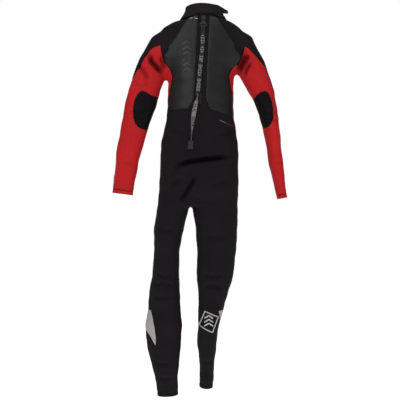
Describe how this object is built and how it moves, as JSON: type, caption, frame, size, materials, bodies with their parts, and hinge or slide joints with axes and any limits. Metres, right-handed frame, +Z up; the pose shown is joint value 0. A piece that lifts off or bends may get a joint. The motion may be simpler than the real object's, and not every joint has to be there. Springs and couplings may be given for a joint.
{
  "type": "full wetsuit",
  "caption": "Back-zip full wetsuit of panelled neoprene with a flap-over collar, zip leash, elbow and knee patches, hanging limp at rest.",
  "frame": {"origin": "where a hanger carries the suit, on its mid line at the shoulder line, just under the collar", "axes": "+Z up, +Y towards the wearer's front, +X towards the wearer's right"},
  "size_m": [0.6748, 0.2055, 1.4879],
  "materials": {
    "black_jersey": "nylon jersey over foam, matt",
    "smooth_skin": "smooth-skin neoprene, soft sheen",
    "red_jersey": "nylon jersey over foam, matt",
    "tough_patch": "abrasion-resistant knit, matt",
    "grey_insert": "light grey print on jersey",
    "collar_neoprene": "fine jersey, matt",
    "webbing": "woven polyester webbing",
    "zip_tape": "woven polyester tape",
    "zip_plastic": "moulded acetal",
    "zip_metal": "black coated zinc alloy",
    "hook_loop": "hook-and-loop pile",
    "hook_grey": "light grey hook-and-loop",
    "badge_print": "bonded rubber print"
  },
  "bodies": {
    "suit_torso": {"back_panel_left": "smooth_skin", "back_panel_right": "smooth_skin", "zip_surround": "black_jersey", "shoulder_panel_left": "black_jersey", "shoulder_panel_right": "black_jersey", "chest_panel": "smooth_skin", "side_panel_left": "red_jersey", "side_panel_right": "red_jersey", "lower_back_panel": "black_jersey", "abdomen_panel": "black_jersey", "collar_band": "collar_neoprene", "collar_loop_patch": "hook_loop", "zip_tape_left": "zip_tape", "zip_tape_right": "zip_tape", "zip_teeth_left": "zip_plastic", "zip_teeth_right": "zip_plastic", "zip_bottom_stop": "zip_plastic", "zip_backing_flap": "black_jersey"},
    "upper_arm_left": {"shoulder_cap_left": "black_jersey", "underarm_gusset_left": "red_jersey", "sleeve_outer_left": "black_jersey", "sleeve_upper_left": "red_jersey"},
    "forearm_left": {"elbow_panel_left": "red_jersey", "elbow_patch_left": "tough_patch", "forearm_panel_left": "red_jersey", "wrist_hem_left": "red_jersey"},
    "thigh_left": {"hip_panel_left": "black_jersey", "thigh_panel_left": "black_jersey"},
    "shin_left": {"knee_panel_left": "black_jersey", "knee_pad_left": "tough_patch", "calf_panel_left": "black_jersey", "calf_insert_left": "grey_insert", "ankle_hem_left": "black_jersey"},
    "upper_arm_right": {"shoulder_cap_right": "black_jersey", "underarm_gusset_right": "red_jersey", "sleeve_outer_right": "black_jersey", "sleeve_upper_right": "red_jersey"},
    "forearm_right": {"elbow_panel_right": "red_jersey", "elbow_patch_right": "tough_patch", "forearm_panel_right": "red_jersey", "wrist_hem_right": "red_jersey"},
    "thigh_right": {"hip_panel_right": "black_jersey", "thigh_panel_right": "black_jersey"},
    "shin_right": {"knee_panel_right": "black_jersey", "knee_pad_right": "tough_patch", "calf_panel_right": "black_jersey", "calf_insert_right": "grey_insert", "calf_badge": "badge_print", "ankle_hem_right": "black_jersey"},
    "zip_slider_body": {"zip_slider": "zip_metal", "slider_bridge": "zip_metal"},
    "pull_tab_body": {"pull_tab": "zip_metal"},
    "leash_body": {"leash_loop": "webbing", "leash": "webbing", "leash_tip": "hook_loop"},
    "collar_flap_body": {"collar_flap": "collar_neoprene", "flap_hook_patch": "hook_grey"}
  },
  "joints": [
    {"name": "shoulder_left", "type": "hinge", "parent": "suit_torso", "child": "upper_arm_left", "pos_m": [-0.193, 0, -0.182], "axis": [0, 1, 0], "range_deg": [-5, 70], "stiffness_Nm_per_rad": 1.5, "springref_deg": 3.44, "deforming": ["shoulder_cap_left", "underarm_gusset_left"]},
    {"name": "elbow_left", "type": "hinge", "parent": "upper_arm_left", "child": "forearm_left", "pos_m": [-0.23889, 0, -0.327], "axis": [0.9677, 0, -0.2521], "range_deg": [0, 100], "stiffness_Nm_per_rad": 0.4, "deforming": ["elbow_panel_left", "elbow_patch_left"]},
    {"name": "hip_left", "type": "hinge", "parent": "suit_torso", "child": "thigh_left", "pos_m": [-0.117, 0, -0.747], "axis": [1, 0, 0], "range_deg": [-15, 60], "stiffness_Nm_per_rad": 2, "deforming": ["hip_panel_left"]},
    {"name": "knee_left", "type": "hinge", "parent": "thigh_left", "child": "shin_left", "pos_m": [-0.1365, 0, -0.985], "axis": [-1, 0, 0], "range_deg": [0, 110], "stiffness_Nm_per_rad": 0.8, "deforming": ["knee_panel_left", "knee_pad_left"]},
    {"name": "shoulder_right", "type": "hinge", "parent": "suit_torso", "child": "upper_arm_right", "pos_m": [0.203, 0, -0.19], "axis": [0, -1, 0], "range_deg": [-5, 70], "stiffness_Nm_per_rad": 1.5, "springref_deg": 3.44, "deforming": ["shoulder_cap_right", "underarm_gusset_right"]},
    {"name": "elbow_right", "type": "hinge", "parent": "upper_arm_right", "child": "forearm_right", "pos_m": [0.25848, 0, -0.327], "axis": [0.9734, 0, 0.2289], "range_deg": [0, 100], "stiffness_Nm_per_rad": 0.4, "deforming": ["elbow_panel_right", "elbow_patch_right"]},
    {"name": "hip_right", "type": "hinge", "parent": "suit_torso", "child": "thigh_right", "pos_m": [0.057, 0, -0.747], "axis": [1, 0, 0], "range_deg": [-15, 60], "stiffness_Nm_per_rad": 2, "deforming": ["hip_panel_right"]},
    {"name": "knee_right", "type": "hinge", "parent": "thigh_right", "child": "shin_right", "pos_m": [0.0505, 0, -0.985], "axis": [-1, 0, 0], "range_deg": [0, 110], "stiffness_Nm_per_rad": 0.8, "deforming": ["knee_panel_right", "knee_pad_right"]},
    {"name": "zip_slide", "type": "slide", "parent": "suit_torso", "child": "zip_slider_body", "axis": [-0.0435, -0.0802, -0.9958], "range_m": [0, 0.3], "deforming": ["zip_teeth_left", "zip_teeth_right"]},
    {"name": "pull_tab_swing", "type": "hinge", "parent": "zip_slider_body", "child": "pull_tab_body", "pos_m": [0.00967, -0.07063, 0.0124], "axis": [-0.999, 0, 0.0436], "range_deg": [0, 110]},
    {"name": "leash_swing", "type": "hinge", "parent": "pull_tab_body", "child": "leash_body", "pos_m": [0.00823, -0.07327, -0.02046], "axis": [-0.999, 0, 0.0436], "range_deg": [0, 60]},
    {"name": "collar_flap_open", "type": "hinge", "parent": "suit_torso", "child": "collar_flap_body", "pos_m": [-0.022, -0.0665, 0.047], "axis": [0, 0, -1], "range_deg": [0, 100]}
  ]
}
